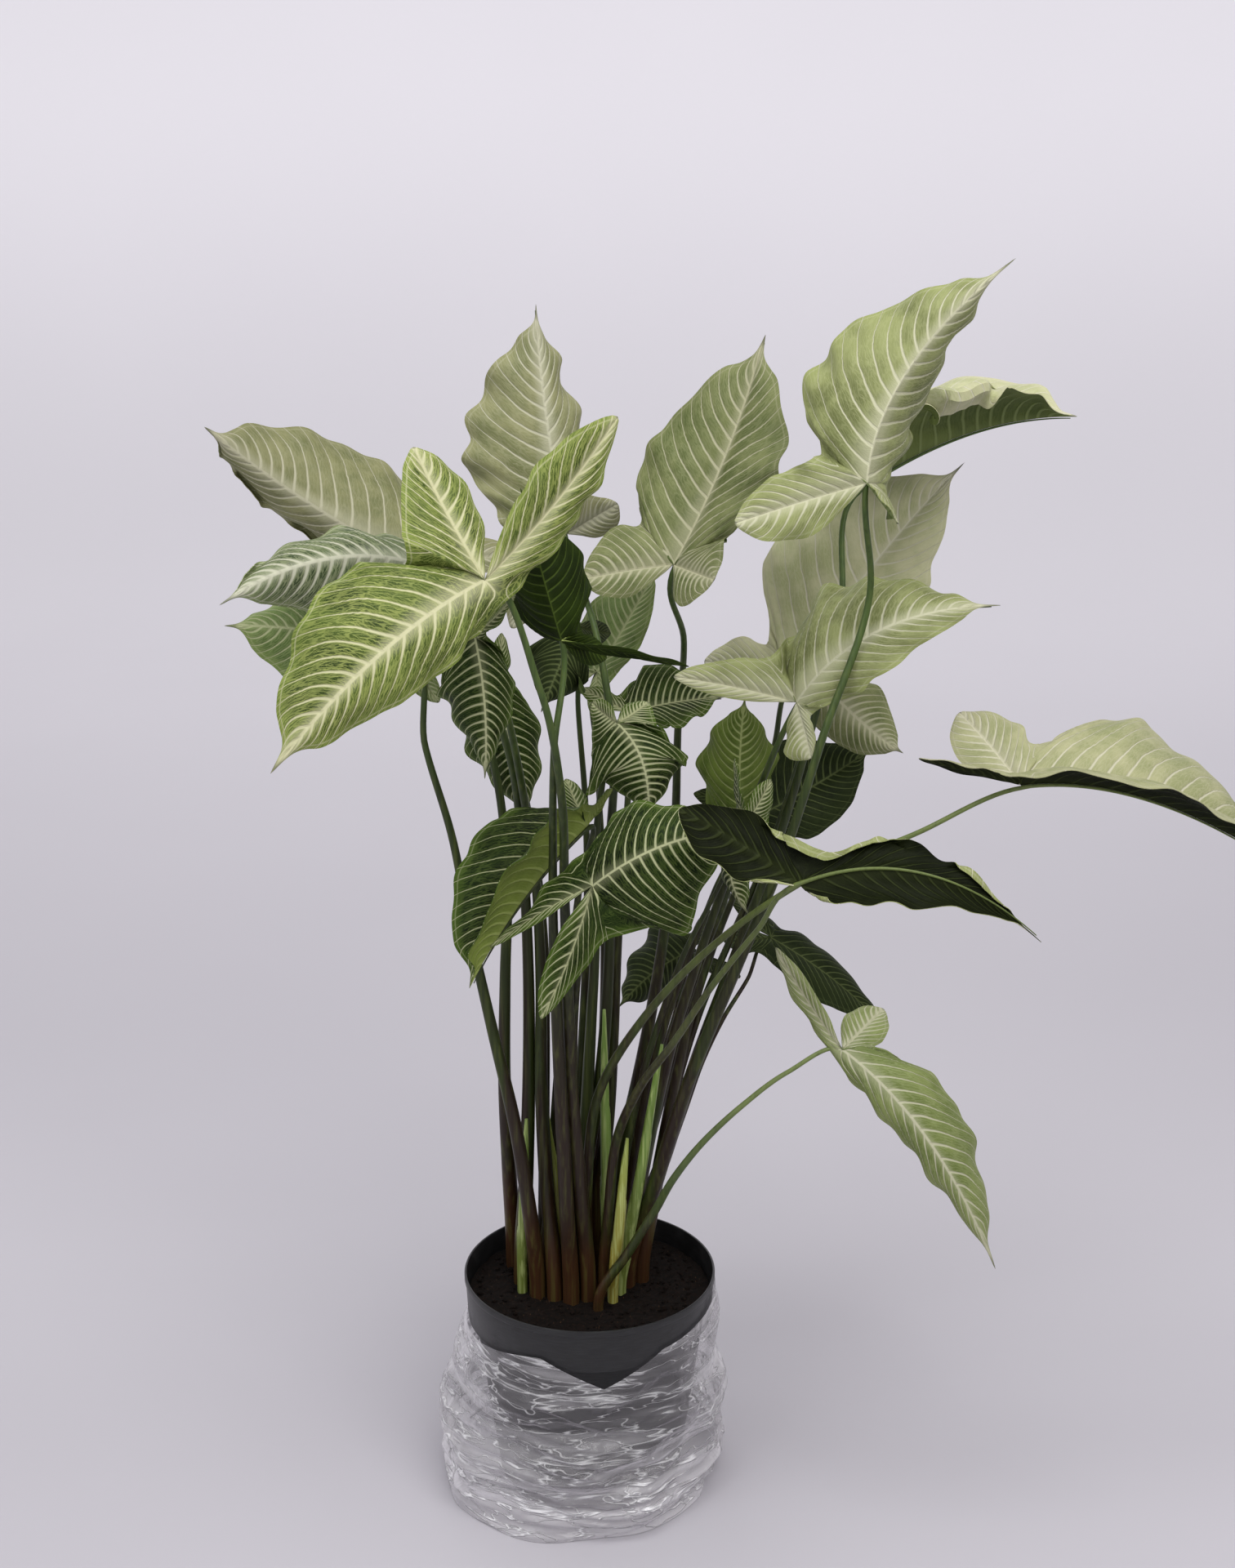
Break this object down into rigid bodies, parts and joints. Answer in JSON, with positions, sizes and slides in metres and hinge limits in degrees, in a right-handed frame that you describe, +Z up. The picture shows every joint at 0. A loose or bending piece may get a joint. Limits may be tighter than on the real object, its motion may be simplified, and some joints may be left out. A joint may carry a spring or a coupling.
{
  "type": "potted xanthosoma lindenii",
  "caption": "Potted leafy plant: arrow-shaped veined leaves on long upright stalks in a round tapered nursery pot, with a loose clear sleeve round the pot; stands on a floor as decoration.",
  "frame": {"origin": "middle of the underside of the pot's flat foot, on the floor", "axes": "+Z up along the pot's axis, -Y toward the viewer of the picture, +X to the viewer's right"},
  "size_m": [1.0658, 0.5741, 1.3108],
  "materials": {
    "leaf": "satin",
    "young_leaf": "satin",
    "pot_plastic": "satin",
    "peat": "matte",
    "clear_film": "gloss"
  },
  "bodies": {
    "root": {"frond_front_left": "leaf", "frond_high_left": "leaf", "frond_mid_left": "leaf", "frond_low_left": "leaf", "frond_top_left": "leaf", "frond_centre_tall": "leaf", "frond_top_right": "leaf", "frond_back_right": "leaf", "frond_behind_right": "leaf", "frond_mid_right": "leaf", "frond_hang_right": "leaf", "frond_far_right": "leaf", "frond_front_right": "leaf", "frond_back_low": "leaf", "frond_low_right": "leaf", "frond_hang_left": "leaf", "frond_under_left": "leaf", "frond_centre_back": "leaf", "frond_dark_left": "leaf", "frond_dark_centre": "leaf", "frond_dark_right": "leaf", "frond_veined_front": "leaf", "frond_veined_mid": "leaf", "frond_front_centre": "leaf", "frond_front_low": "leaf", "frond_low_back": "leaf", "frond_small_right": "leaf", "frond_young_right": "leaf", "spear_middle": "young_leaf", "spear_tall": "young_leaf", "spear_front": "young_leaf", "spear_left": "young_leaf", "spear_yellow": "young_leaf", "nursery_pot": "pot_plastic", "soil": "peat", "clear_sleeve": "clear_film"}
  },
  "joints": []
}
